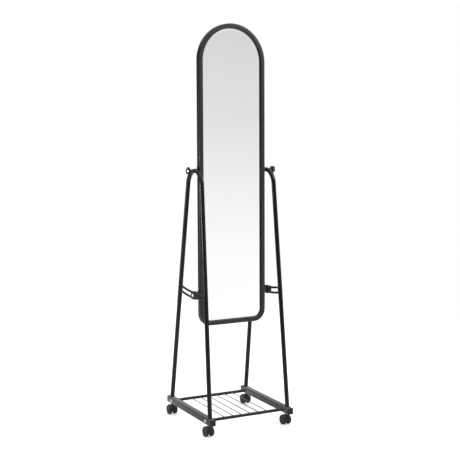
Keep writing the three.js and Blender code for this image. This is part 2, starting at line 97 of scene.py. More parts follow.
forward = Vector((-math.sin(CAMERA_TURN) * math.cos(CAMERA_DROP),
                  math.cos(CAMERA_TURN) * math.cos(CAMERA_DROP), -math.sin(CAMERA_DROP)))
right = forward.cross(Vector((0, 0, 1))).normalized()
up = right.cross(forward)
rolled_right = right * math.cos(CAMERA_ROLL) + up * math.sin(CAMERA_ROLL)
rolled_up = up * math.cos(CAMERA_ROLL) - right * math.sin(CAMERA_ROLL)
turned_view = Matrix((rolled_right, rolled_up, -forward)).transposed().to_4x4()
camera_data = bpy.data.cameras.new("camera")
camera_data.sensor_width = 36
camera_data.lens = CAMERA_LENS
camera_data.clip_start = 0.05
camera_data.clip_end = 60
camera = bpy.data.objects.new("camera", camera_data)
bpy.context.scene.collection.objects.link(camera)
camera.matrix_world = Matrix.Translation(CAMERA_AIM - forward * CAMERA_DISTANCE) @ turned_view
bpy.context.scene.camera = camera
bpy.context.scene.view_settings.view_transform = "Standard"
print("camera at", [round(value, 3) for value in camera.matrix_world.translation])


# %% A helper that adds a shader node with its settings
def add_node(tree, kind, inputs=None, **settings):
    node = tree.nodes.new(kind)
    for key, value in settings.items():
        setattr(node, key, value)
    for key, value in (inputs or {}).items():
        if isinstance(value, bpy.types.NodeSocket):
            tree.links.new(value, node.inputs[key])
        else:
            node.inputs[key].default_value = value
    return node


def mix_colors(tree, factor, first, second):
    """The colour between first and second. 0, 6 and 7 are the colour mix's own sockets."""
    mix = add_node(tree, "ShaderNodeMix", {0: factor, 6: first, 7: second}, data_type="RGBA")
    return mix.outputs[2]


# %% Surround
def brightness_by_height(tree, level, bands):
    """A grey ramp from straight down to straight up. Each band is a height and its brightness."""
    ramp = add_node(tree, "ShaderNodeValToRGB", {"Fac": level})
    while len(ramp.color_ramp.elements) < len(bands):
        ramp.color_ramp.elements.new(0.5)
    for element, (place, value) in zip(ramp.color_ramp.elements, bands):
        element.position = (place + 1) / 2
        element.color = (value, value, value, 1)
    return ramp.outputs["Color"]


def toward(tree, direction, where, start, full):
    """0 away from a direction, rising to 1 close to it."""
    turn = add_node(tree, "ShaderNodeVectorMath", {0: direction, 1: where}, operation="DOT_PRODUCT")
    rise = add_node(tree, "ShaderNodeMapRange", {"Value": turn.outputs["Value"], "From Min": start,
                                                 "From Max": full}, interpolation_type="SMOOTHSTEP")
    return rise.outputs["Result"]


TOP_LIGHT = 1.1
FRONT_BANDS = ((-0.60, 1.05), (-0.16, 1.05), (-0.09, 1.01), (-0.05, 0.95), (0.0, 0.86), (0.045, 0.78),
               (0.125, 0.705), (0.17, 0.69), (0.40, 0.9), (1.0, TOP_LIGHT))
SIDE_BANDS = ((-1.0, 0.20), (-0.05, 0.10), (0.30, 0.10), (0.66, TOP_LIGHT), (1.0, TOP_LIGHT))
BACK_BANDS = ((-1.0, 0.06), (-0.04, 0.05), (0.04, 0.9), (0.30, 0.9), (0.66, TOP_LIGHT), (1.0, TOP_LIGHT))
GLASS_LOOKS = Vector((-math.sin(CAMERA_TURN), -math.cos(CAMERA_TURN), 0))
BEHIND = Vector((-math.sin(CAMERA_TURN), math.cos(CAMERA_TURN), 0))
world = bpy.data.worlds.new("studio surround")
bpy.context.scene.world = world
world.use_nodes = True
sky = world.node_tree
sky.nodes.clear()
direction = add_node(sky, "ShaderNodeTexCoord").outputs["Generated"]
height = add_node(sky, "ShaderNodeSeparateXYZ", {"Vector": direction}).outputs["Z"]
level = add_node(sky, "ShaderNodeMapRange", {"Value": height, "From Min": -1.0}).outputs["Result"]
shade = brightness_by_height(sky, level, SIDE_BANDS)
for where, start, full, bands in ((BEHIND, 0.72, 0.92, BACK_BANDS), (GLASS_LOOKS, 0.80, 0.96, FRONT_BANDS)):
    shade = mix_colors(sky, toward(sky, direction, where, start, full), shade,
                       brightness_by_height(sky, level, bands))
seen = add_node(sky, "ShaderNodeLightPath").outputs["Is Camera Ray"]
surround = add_node(sky, "ShaderNodeBackground",
                    {"Color": mix_colors(sky, seen, shade, (1, 1, 1, 1)), "Strength": 1.0})
add_node(sky, "ShaderNodeOutputWorld", {"Surface": surround.outputs["Background"]})
print("surround: light from above", TOP_LIGHT)


# %% Soft lights
def add_light(name, place, aim, size, power):
    data = bpy.data.lights.new(name, "AREA")
    data.shape = "DISK"
    data.size = size
    data.energy = power
    light = bpy.data.objects.new(name, data)
    bpy.context.scene.collection.objects.link(light)
    light.matrix_world = (Matrix.Translation(place)
                          @ (Vector(aim) - Vector(place)).to_track_quat("-Z", "Y").to_matrix().to_4x4())
    light.visible_camera = False
    return light


add_light("upper right soft light", (1.0, -0.75, 2.05), (0.1, 0, 1.2), 0.5, 11)
add_light("overhead soft light", (0.2, -0.3, 3.6), (0, 0, 0.5), 1.6, 8)
streak = add_light("rear left soft light", (-2.50, 0.78, 0.86), (-0.17, -0.08, 0.90), 0.6, 42)
streak.visible_diffuse = False  # it only draws the bright line down the hoop's front leg
print("three soft lights")


# %% [markdown]
# ## Finishes
# Nearly all of the mirror is steel in a satin black powder coat. Baked powder is never quite flat: it has a
# fine orange-peel skin under a millimetre across, and its gloss drifts slowly from place to place. Both
# effects are wanted on other finishes too, so each is a node group that is built once.
# The patterns run on Object coordinates, which here are metres on the real piece.

# %% A helper that opens a node group
def open_group(name, sockets_in, sockets_out):
    group = bpy.data.node_groups.new(name, "ShaderNodeTree")
    for socket, kind, value in sockets_in:
        made = group.interface.new_socket(socket, in_out="INPUT", socket_type=kind)
        made.default_value = value
    for socket, kind in sockets_out:
        group.interface.new_socket(socket, in_out="OUTPUT", socket_type=kind)
    entry = group.nodes.new("NodeGroupInput").outputs
    result = group.nodes.new("NodeGroupOutput").inputs
    place = add_node(group, "ShaderNodeTexCoord").outputs["Object"]
    return group, entry, result, place


# %% Fine grain: a small bumpy skin with a mask of its high spots
FLOAT, COLOR, VECTOR = "NodeSocketFloat", "NodeSocketColor", "NodeSocketVector"
grain, entry, result, place = open_group(
    "fine grain",
    [("Size", FLOAT, 1200.0), ("Relief", FLOAT, 0.1), ("Depth", FLOAT, 0.00002)],
    [("Mask", FLOAT), ("Normal", VECTOR)])
skin = add_node(grain, "ShaderNodeTexNoise", {"Vector": place, "Scale": entry["Size"], "Detail": 2.0})
bump = add_node(grain, "ShaderNodeBump", {"Height": skin.outputs["Fac"], "Strength": entry["Relief"],
                                          "Distance": entry["Depth"]})
grain.links.new(skin.outputs["Fac"], result["Mask"])
grain.links.new(bump.outputs["Normal"], result["Normal"])
print("node group:", grain.name)

# %% Slow drift: a finish that changes gently from place to place, with small scuffs
drift, entry, result, place = open_group(
    "slow drift",
    [("Size", FLOAT, 9.0), ("Low", FLOAT, 0.4), ("High", FLOAT, 0.5), ("Scuffs", FLOAT, 0.0),
     ("Dark", COLOR, (0, 0, 0, 1)), ("Light", COLOR, (1, 1, 1, 1))],
    [("Roughness", FLOAT), ("Color", COLOR)])
slow = add_node(drift, "ShaderNodeTexNoise", {"Vector": place, "Scale": entry["Size"], "Detail": 4.0})
spread = add_node(drift, "ShaderNodeMapRange", {"Value": slow.outputs["Fac"], "From Min": 0.3,
                                                "From Max": 0.7})
stretched = add_node(drift, "ShaderNodeMapping", {"Vector": place, "Scale": (1.0, 0.25, 0.25),
                                                  "Rotation": (0.4, 0.3, 0.9)})
marks = add_node(drift, "ShaderNodeTexNoise", {"Vector": stretched.outputs["Vector"], "Scale": 420.0,
                                               "Detail": 3.0})
few = add_node(drift, "ShaderNodeMapRange", {"Value": marks.outputs["Fac"], "From Min": 0.66,
                                             "From Max": 0.74})
scuff = add_node(drift, "ShaderNodeMath", {0: few.outputs["Result"], 1: entry["Scuffs"]},
                 operation="MULTIPLY")
gloss = add_node(drift, "ShaderNodeMapRange", {"Value": spread.outputs["Result"], "To Min": entry["Low"],
                                               "To Max": entry["High"]})
rough = add_node(drift, "ShaderNodeMath", {0: gloss.outputs["Result"], 1: scuff.outputs["Value"]},
                 operation="ADD", use_clamp=True)
drift.links.new(rough.outputs["Value"], result["Roughness"])
drift.links.new(mix_colors(drift, spread.outputs["Result"], entry["Dark"], entry["Light"]), result["Color"])
print("node group:", drift.name)


# %% A helper that makes a finish from the two groups
def make_finish(name, dark, light, low, high, drift_size=9.0, scuffs=0.0, grain_size=1200.0,
                relief=0.12, depth=0.00002, **constants):
    """The finish drifts between a dark and a light colour and between a low and a high roughness."""
    material = bpy.data.materials.new(name)
    material.use_nodes = True
    tree = material.node_tree
    tree.nodes.clear()
    wave = add_node(tree, "ShaderNodeGroup", node_tree=drift)
    for key, value in (("Size", drift_size), ("Low", low), ("High", high), ("Scuffs", scuffs),
                       ("Dark", (*dark, 1)), ("Light", (*light, 1))):
        wave.inputs[key].default_value = value
    skin = add_node(tree, "ShaderNodeGroup", node_tree=grain)
    for key, value in (("Size", grain_size), ("Relief", relief), ("Depth", depth)):
        skin.inputs[key].default_value = value
    shader = add_node(tree, "ShaderNodeBsdfPrincipled",
                      {"Base Color": wave.outputs["Color"], "Roughness": wave.outputs["Roughness"],
                       "Normal": skin.outputs["Normal"], **constants})
    add_node(tree, "ShaderNodeOutputMaterial", {"Surface": shader.outputs["BSDF"]})
    print("finish:", name)
    return material


# %% Powder coat, zinc plate and moulded plastics
COOL = (0.95, 0.91, 1.0, 1)  # the coat's gloss is a little violet
powder = make_finish("satin black powder coat", (0.0052, 0.0047, 0.0072), (0.0082, 0.0076, 0.0108),
                     0.27, 0.36, scuffs=0.12, relief=0.30, **{"IOR": 1.38, "Specular Tint": COOL})
# The mirror frame wears the same black coat as the hoops in a somewhat lighter colour: painted light,
# standing in for the light that makes the frame's face look brighter than the hoops.
frame_powder_painted_light = make_finish("black powder coat on the mirror frame", (0.0095, 0.0086, 0.0128),
                           (0.0145, 0.0133, 0.0185), 0.30, 0.38, scuffs=0.10, relief=0.30,
                           **{"IOR": 1.5, "Specular Tint": COOL})
# The rails wear the same black coat as the hoops in a much lighter colour: painted light, standing in for the
# light that makes the rails look brighter than the hoops.
rail_powder_painted_light = make_finish("black powder coat on the rails, lightened as painted light", (0.022, 0.021, 0.026), (0.034, 0.032, 0.039),
                          0.26, 0.36, scuffs=0.16, relief=0.30, **{"IOR": 1.52, "Specular Tint": COOL})
zinc = make_finish("bright zinc plate", (0.66, 0.68, 0.71), (0.80, 0.81, 0.82), 0.18, 0.34, drift_size=160.0,
                   scuffs=0.25, grain_size=2600.0, relief=0.2, **{"Metallic": 1.0})
plastic = make_finish("black moulded plastic", (0.0050, 0.0048, 0.0062), (0.0090, 0.0086, 0.0105), 0.38, 0.50,
                      drift_size=45.0, grain_size=3200.0, relief=0.5, depth=0.00003, **{"IOR": 1.42})
wheel_plastic = make_finish("black wheel plastic", (0.0060, 0.0058, 0.0072), (0.0130, 0.0125, 0.0145),
                            0.36, 0.52, drift_size=60.0, scuffs=0.3, grain_size=2400.0, relief=0.4,
                            **{"IOR": 1.42})
wire_steel = make_finish("coated wire", (0.05, 0.05, 0.054), (0.09, 0.09, 0.095), 0.32, 0.45, drift_size=30.0)

# %% [markdown]
# Mirror glass is a sheet of float glass with silver on its back. Seen from the front it is simply a very
# smooth metal with a faint green-grey cast, and a few breaths of haze that only show where light skims it.
# The ground rim of the sheet is the one place where the green of the glass itself is seen.

# %% Silvered face, ground glass rim and hardboard
silver = make_finish("silvered glass", (0.955, 0.960, 0.962), (0.970, 0.974, 0.974), 0.004, 0.022,
                     drift_size=5.0, scuffs=0.03, grain_size=300.0, relief=0.0, **{"Metallic": 1.0})
rim_glass = make_finish("ground glass rim", (0.20, 0.34, 0.29), (0.34, 0.48, 0.43), 0.22, 0.38,
                        drift_size=90.0, grain_size=1800.0, relief=0.3)
backing_paint = make_finish("mirror backing paint", (0.16, 0.17, 0.18), (0.21, 0.22, 0.23), 0.5, 0.65)


def hardboard_finish():
    """Pressed wood fibre: short tangled threads of several browns, darker flecks and a soft sheen."""
    material = make_finish("plain hardboard", (0.15, 0.093, 0.050), (0.27, 0.18, 0.105), 0.62, 0.80,
                           drift_size=7.0, grain_size=900.0, relief=0.7, depth=0.0001)
    tree = material.node_tree
    shader = tree.nodes["Principled BSDF"]
    place = add_node(tree, "ShaderNodeTexCoord").outputs["Object"]
    tangle = add_node(tree, "ShaderNodeTexNoise", {"Vector": place, "Scale": 260.0, "Detail": 5.0,
                                                   "Distortion": 2.5})
    threads = add_node(tree, "ShaderNodeMapRange", {"Value": tangle.outputs["Fac"], "From Min": 0.42,
                                                    "From Max": 0.62, "To Min": 0.0, "To Max": 0.55})
    base = shader.inputs["Base Color"].links[0].from_socket
    tree.links.new(mix_colors(tree, threads.outputs["Result"], base, (0.36, 0.25, 0.15, 1)),
                   shader.inputs["Base Color"])
    return material


hardboard = hardboard_finish()

# %% [markdown]
# ## Helpers for shapes
# Most pieces are one of three things: a rounded bar or plate, something turned on a lathe, or a tube.
# A rounded outline starts as a circle whose four quarters are moved apart. A turned piece is a short
# profile spun once round. Both come back as a small bmesh, so that several can be put into one piece.

# %% Small helpers
VERT, EDGE = bmesh.types.BMVert, bmesh.types.BMEdge


def only(kind, items):
    """The vertices or the edges in a mixed list."""
    return [item for item in items if isinstance(item, kind)]


def face_out(part):
    bmesh.ops.recalc_face_normals(part, faces=part.faces)


def draw_out(part, faces, vec):
    """Gives faces a thickness: the part becomes solid along vec."""
    raised = bmesh.ops.extrude_face_region(part, geom=faces)["geom"]
    bmesh.ops.translate(part, verts=only(VERT, raised), vec=vec)
    face_out(part)


def box_of(node):
    """A node's lowest corner, highest corner and middle."""
    low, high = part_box(node)
    return low, high, (low + high) / 2


def to_x(sign):
    """Turns a shape that stands up Z so that it points out to the left or right."""
    return Matrix.Rotation(sign * math.pi / 2, 4, "Y")


def to_y(sign):
    """Turns a shape that stands up Z so that it points to the front or the back."""
    return Matrix.Rotation(-sign * math.pi / 2, 4, "X")


# %% Rounded bar or plate
def softened(part, size, segments=3, sharper_than=50):
    """Bevels every edge that is sharper than an angle in degrees."""
    sharp = [edge for edge in part.edges if len(edge.link_faces) == 2
             and edge.calc_face_angle(0) > math.radians(sharper_than)]
    bmesh.ops.bevel(part, geom=sharp, offset=size, offset_type="OFFSET", affect="EDGES", segments=segments,
                    profile=0.5, material=-1, clamp_overlap=True)
    return part


def rounded_bar(width, depth, radius, length, edge=0.0, steps=6):
    """A bar that stands on the origin and reaches up Z, with rounded corners and eased ends."""
    part = bmesh.new()
    half_step = Matrix.Rotation(math.pi / (4 * steps), 4, "Z")
    ring = bmesh.ops.create_circle(part, radius=radius, segments=4 * steps, matrix=half_step)["verts"]
    for x, y in ((1, 1), (-1, 1), (-1, -1), (1, -1)):
        corner = [vertex for vertex in ring if vertex.co.x * x > 0 and vertex.co.y * y > 0]
        bmesh.ops.translate(part, verts=corner,
                            vec=(x * (width / 2 - radius), y * (depth / 2 - radius), 0))
    draw_out(part, bmesh.ops.contextual_create(part, geom=part.edges[:])["faces"], (0, 0, length))
    return softened(part, edge) if edge else part


# %% Turned shape
def turned(profile, steps=32, angle=2 * math.pi):
    """A profile of (radius, height) pairs spun about Z."""
    part = bmesh.new()
    points = [part.verts.new((radius, 0, height)) for radius, height in profile]
    lines = [part.edges.new(pair) for pair in zip(points, points[1:])]
    bmesh.ops.spin(part, geom=points + lines, cent=(0, 0, 0), axis=(0, 0, 1), angle=angle, steps=steps,
                   use_merge=angle == 2 * math.pi)
    bmesh.ops.remove_doubles(part, verts=part.verts, dist=1e-6)
    face_out(part)
    return part


# %% Join small shapes and finish a piece
def put(piece, part, place=Matrix(), material=0):
    """Moves a small shape into place and adds it to the piece."""
    bmesh.ops.transform(part, matrix=place, verts=part.verts)
    if place.determinant() < 0:
        bmesh.ops.reverse_faces(part, faces=part.faces)
    for face in part.faces:
        face.material_index = material
    mesh = bpy.data.meshes.new("part")
    part.to_mesh(mesh)
    part.free()
    piece.from_mesh(mesh)
    bpy.data.meshes.remove(mesh)


def finish_piece(piece, name, body, materials, stands_for, smooth_below=38, reflected=False):
    """Shades a piece smooth except at its sharp edges, and lets it ride on its body.

    The glass should show the plain studio, so only its own frame is seen in reflections."""
    for face in piece.faces:
        face.smooth = True
    for edge in piece.edges:
        edge.smooth = len(edge.link_faces) == 2 and edge.calc_face_angle(0) < math.radians(smooth_below)
    mesh = bpy.data.meshes.new(name)
    piece.to_mesh(mesh)
    piece.free()
    for material in materials:
        mesh.materials.append(material)
    shown = bpy.data.objects.new(name, mesh)
    bpy.context.scene.collection.objects.link(shown)
    shown.visible_glossy = reflected
    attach(shown, body)
    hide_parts(*stands_for)
    print(f"{name}: {len(mesh.polygons)} faces on {body}")


# %% Cut one shape out of another
def carved(part, cutter):
    """The part with the cutter taken out of it, with a Boolean modifier on throwaway objects."""
    made = []
    for source in (part, cutter):
        mesh = bpy.data.meshes.new("carving")
        face_out(source)
        source.to_mesh(mesh)
        source.free()
        made.append(bpy.data.objects.new("carving", mesh))
        bpy.context.scene.collection.objects.link(made[-1])
    cut = made[0].modifiers.new("cut", "BOOLEAN")
    cut.object = made[1]
    cut.solver = "EXACT"
    cut.use_self = True
    bpy.context.view_layer.update()
    result = bmesh.new()
    result.from_object(made[0], bpy.context.evaluated_depsgraph_get())
    for thing in made:
        mesh = thing.data
        bpy.data.objects.remove(thing)
        bpy.data.meshes.remove(mesh)
    return result


# %% [markdown]
# ## The hoops
# Each hoop is one length of 18 mm steel tube, bent once at the crown. In the workshop it goes round a
# former, which is just what a spin does: a ring is spun about the middle of the bend, and the two ring ends
# are then drawn out along the legs. A weld bead runs round each foot where it stands on its rail.

# %% Hoop sizes
TUBE, BEND = 0.009, 0.062  # the tube's radius, and the crown's along the middle of the tube
BEAD = 0.0022
FOOT_X, CROWN_X, FOOT_Y = 0.180, 0.165, 0.175
rail_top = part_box("left_side_rail")[1].z
hoop_lean = math.atan2(FOOT_X - CROWN_X, pivot_z - rail_top)
hoop_height = (pivot_z - rail_top) / math.cos(hoop_lean)
bend_z = hoop_height - BEND
leg_lean = math.acos(BEND / math.hypot(FOOT_Y, bend_z)) - math.atan2(bend_z, FOOT_Y)
print(f"legs lean {math.degrees(leg_lean):.2f} degrees, hoops lean in {math.degrees(hoop_lean):.2f} degrees")


def on_rail(sign):
    """From a hoop's own frame, standing at the middle of its rail, to the whole mirror's."""
    return (Matrix.Translation((sign * FOOT_X, 0, rail_top))
            @ Matrix.Rotation(-sign * hoop_lean, 4, "Y"))


def leg_point(end, z):
    """The middle of a leg at a height, in the hoop's own frame. end is -1 in front, 1 behind."""
    touch_y, touch_z = BEND * math.cos(leg_lean), bend_z + BEND * math.sin(leg_lean)
    return Vector((0, end * (touch_y + (touch_z - z) * math.tan(leg_lean)), z))


# %% Bend a tube and draw out its legs
def bent_tube():
    part = bmesh.new()
    leg_top = bend_z + BEND * math.sin(leg_lean)
    start = Matrix.Translation(leg_point(1, leg_top)) @ Matrix.Rotation(leg_lean, 4, "X")
    bmesh.ops.create_circle(part, radius=TUBE, segments=28, matrix=start)
    first = part.edges[:]
    spun = bmesh.ops.spin(part, geom=part.verts[:] + first, cent=(0, 0, bend_z), axis=(1, 0, 0),
                          angle=math.pi - 2 * leg_lean, steps=44)["geom_last"]
    for edges, end in ((first, 1), (only(EDGE, spun), -1)):
        drop = leg_top + 0.004  # a little past the rail, to be cut level
        drawn = bmesh.ops.extrude_edge_only(part, edges=edges)["geom"]
        bmesh.ops.translate(part, verts=only(VERT, drawn), vec=(0, end * drop * math.tan(leg_lean), -drop))
    everything = part.verts[:] + part.edges[:] + part.faces[:]
    bmesh.ops.bisect_plane(part, geom=everything, plane_co=(0, 0, 0.0002), plane_no=(0, 0, 1),
                           clear_inner=True)
    bmesh.ops.holes_fill(part, edges=part.edges)
    face_out(part)
    return part


def weld_bead(radius, bead, waves=26):
    """A ring of weld round a tube, with the ripples that the weld pool leaves."""
    profile = [(radius - bead * 0.5, bead * 1.1), (radius + bead * 0.35, bead * 0.85),
               (radius + bead * 0.85, bead * 0.35), (radius + bead * 1.05, -bead * 0.05),
               (radius - bead * 0.5, -bead * 0.05), (radius - bead * 0.5, bead * 1.1)]
    part = turned(profile, steps=waves * 4)
    for vertex in part.verts:
        turn = math.atan2(vertex.co.y, vertex.co.x)
        if vertex.co.to_2d().length > radius:
            swell = 1 + 0.035 * math.sin(waves * turn) * min(1, (vertex.co.to_2d().length - radius) / bead)
            vertex.co.x *= swell
            vertex.co.y *= swell
    return part


# %% Make both hoops
for side, sign in SIDES:
    piece = bmesh.new()
    put(piece, bent_tube(), on_rail(sign))
    for end in (-1, 1):
        foot = on_rail(sign) @ Matrix.Translation(leg_point(end, 0))
        put(piece, weld_bead(TUBE, BEAD), Matrix.Translation(foot.translation))
    finish_piece(piece, f"{side}_hoop_tube", "stand", [powder], [f"{side}_hoop"])

# %% [markdown]
# ## The base
# Two square rails run front to back under the hoops, with a moulded cap in each open end. Round cross
# tubes, held by bolts through the rails, carry six straight wires. The rails are folded and seam-welded
# strip, so their long corners are round, and a rounded bar with eased ends gives the same glint.

# %% Rails and caps
RAIL, RAIL_CORNER = 0.026, 0.003
CAP_THICK, PLUG, PLUG_LENGTH = 0.0027, 0.0224, 0.010
for side, sign in SIDES:
    low, high, middle = box_of(f"{side}_side_rail")
    piece = bmesh.new()
    put(piece, rounded_bar(RAIL, RAIL, RAIL_CORNER, high.y - low.y, edge=0.0004),
        Matrix.Translation((middle.x, low.y, middle.z)) @ to_y(1))
    finish_piece(piece, f"{side}_rail", "stand", [rail_powder_painted_light], [f"{side}_side_rail"])
    for end, way in ENDS:
        low, high, _ = box_of(f"{side}_{end}_end_cap")
        outer = high.y if way > 0 else low.y
        out = Matrix.Translation((middle.x, outer - way * CAP_THICK, middle.z)) @ to_y(way)
        piece = bmesh.new()
        put(piece, rounded_bar(RAIL, RAIL, RAIL_CORNER, CAP_THICK, edge=0.0009), out)
        put(piece, rounded_bar(PLUG, PLUG, 0.002, PLUG_LENGTH, edge=0.0004),
            out @ Matrix.Translation((0, 0, 0.0008 - PLUG_LENGTH)))
        finish_piece(piece, f"{side}_{end}_cap", "stand", [plastic],
                     [f"{side}_{end}_end_cap"])

# %% Cross tubes and shelf wires
CROSS_RADIUS, WIRES = 0.0065, 6


def rod(radius, length, steps):
    return turned([(0, 0), (radius, 0), (radius, length), (0, length)], steps=steps)


for end, way in ENDS:
    low, high, middle = box_of(f"{end}_cross_tube")
    piece = bmesh.new()
    put(piece, rod(CROSS_RADIUS, high.x - low.x, 28),
        Matrix.Translation((low.x, middle.y, middle.z)) @ to_x(1))
    finish_piece(piece, f"{end}_cross_bar", "stand", [powder], [f"{end}_cross_tube"])
for number in range(1, WIRES + 1):
    low, high, middle = box_of(f"shelf_wire_{number}")
    piece = bmesh.new()
    radius = (high.x - low.x) / 2
    put(piece, rod(radius, high.y - low.y, 14), Matrix.Translation((middle.x, low.y, middle.z)) @ to_y(1))
    for way in (-1, 1):
        blob = bmesh.new()
        bmesh.ops.create_uvsphere(blob, u_segments=12, v_segments=8, radius=radius * 1.6)
        put(piece, blob, Matrix.Translation((middle.x, way * (high.y - 0.0002), middle.z)))
    finish_piece(piece, f"wire_{number}", "stand", [wire_steel], [f"shelf_wire_{number}"])

# %% [markdown]
# ## Fasteners
# The bolts have low domed heads with a hexagon socket, and the small screws have pan heads with a cross
# recess. A head is turned from a short profile and its recess is carved. One function makes it wherever it
# is used, as bought parts are all alike.


# %% Bolt and screw shapes
def domed_bolt(head, height, shank, length, socket):
    profile = [(0, -length), (shank * 0.8, -length), (shank, -length + shank * 0.3), (shank, 0), (head, 0),
               (head * 1.02, height * 0.12), (head * 0.93, height * 0.5), (head * 0.72, height * 0.85),
               (head * 0.5, height), (0, height)]
    hexagon = bmesh.new()
    bmesh.ops.create_cone(hexagon, cap_ends=True, segments=6, radius1=socket, radius2=socket,
                          depth=height * 1.3, matrix=Matrix.Translation((0, 0, height)))
    return carved(turned(profile, steps=30), hexagon)


def pan_screw(head, height, shank, length):
    profile = [(0, -length), (shank * 0.5, -length + 0.001), (shank, -length + 0.003), (shank, 0), (head, 0),
               (head, height * 0.45), (head * 0.86, height * 0.8), (head * 0.6, height), (0, height)]
    cross = bmesh.new()
    for turn in (0, math.pi / 2):
        blade = rounded_bar(head * 1.05, head * 0.22, head * 0.05, height, steps=2)
        put(cross, blade, Matrix.Translation((0, 0, height * 0.35)) @ Matrix.Rotation(turn, 4, "Z"))
    return carved(turned(profile, steps=24), cross)


# %% Rail bolts
BOLT_SEAT = FOOT_X + RAIL / 2 + 0.0001
for side, sign in SIDES:
    for end, way in ENDS:
        middle = box_of(f"{side}_{end}_rail_bolt")[2]
        piece = bmesh.new()
        put(piece, domed_bolt(head=0.0058, height=0.0035, shank=0.003, length=0.036, socket=0.0022),
            Matrix.Translation((sign * BOLT_SEAT, middle.y, middle.z)) @ to_x(sign))
        finish_piece(piece, f"{side}_{end}_bolt", "stand", [zinc], [f"{side}_{end}_rail_bolt"])

# %% [markdown]
# ## The tilt guides
# Between the legs of each hoop sits a curved plate with a long slot, cut on a circle about the tilt axis so
# that the slider block can follow it. A radial line of four points spun about that axis sweeps the whole
# plate in one go. The faces over the slot are then deleted, the ends are cut off inside the legs, and the
# sheet is drawn out to its thickness. A short saddle plate is wrapped round each leg where the guide is
# welded to it. It is thin, because the slider block comes close to it at both ends of the tilt.

# %% Slotted plate
GUIDE_R, GUIDE_HALF, SLOT_HALF = 0.5045, 0.015, 0.0065
GUIDE_X, GUIDE_THICK = 0.173, 0.004
GUIDE_STEP = math.radians(0.4)
GUIDE_STEPS, SLOT_STEPS = 68, 60
CUT_HEIGHT = 0.470  # where a leg is as far out as the guide's ends


def guide_plate(sign):
    part = bmesh.new()
    start = -GUIDE_STEP * GUIDE_STEPS / 2
    outward = Vector((0, math.sin(start), -math.cos(start)))
    radii = (GUIDE_R - GUIDE_HALF, GUIDE_R - SLOT_HALF, GUIDE_R + SLOT_HALF, GUIDE_R + GUIDE_HALF)
    points = [part.verts.new(outward * radius) for radius in radii]
    lines = [part.edges.new(pair) for pair in zip(points, points[1:])]
    bmesh.ops.spin(part, geom=points + lines, cent=(0, 0, 0), axis=(1, 0, 0),
                   angle=GUIDE_STEP * GUIDE_STEPS, steps=GUIDE_STEPS)
    slot_end = GUIDE_STEP * SLOT_STEPS / 2
    middles = [(face, face.calc_center_median()) for face in part.faces]
    over_slot = [face for face, middle in middles if abs(middle.length - GUIDE_R) < 0.001
                 and abs(math.atan2(middle.y, -middle.z)) < slot_end]
    bmesh.ops.delete(part, geom=over_slot, context="FACES")
    bmesh.ops.transform(part, matrix=Matrix.Translation((sign * GUIDE_X - GUIDE_THICK / 2, 0, pivot_z)),
                        verts=part.verts)
    for end in (-1, 1):
        leg = on_rail(sign) @ leg_point(end, CUT_HEIGHT)
        bmesh.ops.bisect_plane(part, geom=part.verts[:] + part.edges[:] + part.faces[:], plane_co=leg,
                               plane_no=(0, end * math.cos(leg_lean), math.sin(leg_lean)), clear_outer=True)
    draw_out(part, part.faces[:], (GUIDE_THICK, 0, 0))
    return softened(part, 0.0005, segments=2)


# %% Saddle plates, and both guides together
SADDLE_HALF, SADDLE_THICK, SADDLE_ANGLE = 0.0150, 0.0008, math.radians(12.6)


def saddle(half_angle=72, steps=18):
    """A short piece of split tube, open to -Y, standing on its middle."""
    part = bmesh.new()
    inner, outer, half = TUBE + 0.0001, TUBE + 0.0001 + SADDLE_THICK, SADDLE_HALF
    corners = [part.verts.new(Matrix.Rotation(math.radians(90 - half_angle), 3, "Z") @ Vector((radius, 0, z)))
               for radius, z in ((inner, -half), (outer, -half), (outer, half), (inner, half))]
    loop = [part.edges.new((corners[i], corners[(i + 1) % 4])) for i in range(4)]
    spun = bmesh.ops.spin(part, geom=corners + loop, cent=(0, 0, 0), axis=(0, 0, 1),
                          angle=math.radians(2 * half_angle), steps=steps)["geom_last"]
    for rim in (loop, only(EDGE, spun)):
        bmesh.ops.contextual_create(part, geom=rim)
    face_out(part)
    return softened(part, 0.0004, segments=2)


height_on_leg = pivot_z - GUIDE_R * math.cos(SADDLE_ANGLE) - rail_top
for side, sign in SIDES:
    piece = bmesh.new()
    put(piece, guide_plate(sign))
    for end in (-1, 1):
        at = on_rail(sign) @ Matrix.Translation(leg_point(end, height_on_leg))
        half_turn = Matrix.Rotation(math.pi if end > 0 else 0, 4, "Z")
        put(piece, saddle(), at @ Matrix.Rotation(end * leg_lean, 4, "X") @ half_turn)
    finish_piece(piece, f"{side}_guide", "stand", [powder], [f"{side}_tilt_guide"])

# %% [markdown]
# ## The mirror
# The frame is one strip of rolled steel channel, bent round the glass and closed with a weld at the bottom.
# It is made the same way here: its section is drawn once, drawn out along the straight sides and spun
# round the corners and the arch. The face edges are then rounded. The glass and its backing board share
# one outline, a little inside the frame.

# %% Frame section drawn round the outline
FRAME_HALF, FRAME_UP, FRAME_DOWN, CORNER = 0.152, 0.591, 0.6335, 0.050
FRONT, BACK, FACE, LIP, WALL = -0.0125, 0.009, 0.0195, 0.006, 0.0015
SPRING_Z = FRAME_UP - FRAME_HALF


